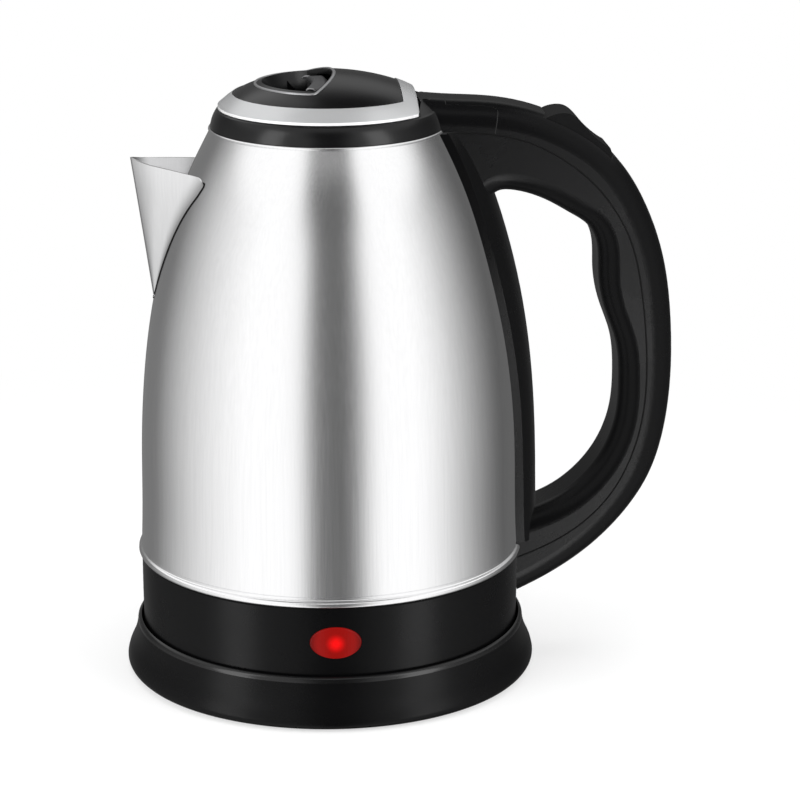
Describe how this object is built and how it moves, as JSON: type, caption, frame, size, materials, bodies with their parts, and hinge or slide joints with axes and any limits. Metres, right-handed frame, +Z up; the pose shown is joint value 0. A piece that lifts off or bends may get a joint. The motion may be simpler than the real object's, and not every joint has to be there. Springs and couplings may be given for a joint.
{
  "type": "electric kettle",
  "caption": "Cordless electric kettle with a tapering steel body, V-shaped spout, hinged latched lid, D-shaped handle with rocker switch, and a round power base it lifts off.",
  "frame": {"origin": "centre of the round foot ring, on the surface the power base stands on", "axes": "+Z up along the kettle's axis, +X towards the handle, -X towards the spout"},
  "size_m": [0.2127, 0.1599, 0.2345],
  "materials": {
    "black_plastic": "satin black moulded plastic",
    "gloss_black": "smooth black plastic",
    "steel": "brushed stainless steel",
    "silver_trim": "silver-lacquered plastic",
    "lamp_red": "clear red plastic",
    "lamp_glass": "small glass bulb",
    "rubber": "soft grey-black rubber",
    "brass": "plain brass",
    "zinc_steel": "zinc-plated steel",
    "aluminium": "pressed aluminium",
    "white_plastic": "heat-resistant white plastic",
    "satin_grey": "satin grey lacquered plastic",
    "seal_black": "black sealant"
  },
  "bodies": {
    "base": {"base_housing": "black_plastic", "base_bottom_plate": "black_plastic", "base_foot_ring": "rubber", "base_screws": "zinc_steel", "base_socket": "black_plastic", "base_contacts": "brass"},
    "coupler": {"kettle_coupler": "black_plastic", "coupler_contacts": "brass"},
    "kettle": {"lower_skirt": "black_plastic", "indicator_lens": "lamp_red", "neon_lamp": "lamp_glass", "lamp_holder": "white_plastic", "skirt_screws": "zinc_steel", "plate_studs": "zinc_steel", "heater_plate": "steel", "heat_spreader": "aluminium", "heating_element": "aluminium", "control_block": "white_plastic", "bimetal_discs": "brass", "body_shell": "steel", "spout": "steel", "spout_seal": "seal_black", "top_collar": "black_plastic", "lid_hinge_pin": "zinc_steel", "handle_inner": "black_plastic", "handle_outer": "black_plastic", "hinge_cover": "black_plastic", "rocker_pin": "zinc_steel", "steam_tube": "white_plastic"},
    "lid": {"lid_cover": "gloss_black", "well_rim": "satin_grey", "lid_trim": "silver_trim", "lid_liner": "black_plastic", "lid_screws": "zinc_steel"},
    "lid_latch": {"latch_lever": "satin_grey", "latch_bolt": "black_plastic", "latch_spring": "zinc_steel"},
    "switch": {"switch_rocker": "gloss_black"}
  },
  "joints": [
    {"name": "kettle_lift", "type": "slide", "parent": "base", "child": "coupler", "axis": [0, 0, 1], "range_m": [0, 0.1]},
    {"name": "kettle_swivel", "type": "hinge", "parent": "coupler", "child": "kettle", "pos_m": [0, 0, 0], "axis": [0, 0, 1], "continuous": true},
    {"name": "lid_hinge", "type": "hinge", "parent": "kettle", "child": "lid", "pos_m": [0.0364, 0, 0.2213], "axis": [0, 1, 0], "range_deg": [0, 80]},
    {"name": "latch_slide", "type": "slide", "parent": "lid", "child": "lid_latch", "axis": [1, 0, 0], "range_m": [0, 0.004], "stiffness_N_per_m": 250, "deforming": ["latch_spring"]},
    {"name": "switch_rock", "type": "hinge", "parent": "kettle", "child": "switch", "pos_m": [0.092, 0, 0.2054], "axis": [0, 1, 0], "range_deg": [-8, 0]}
  ]
}
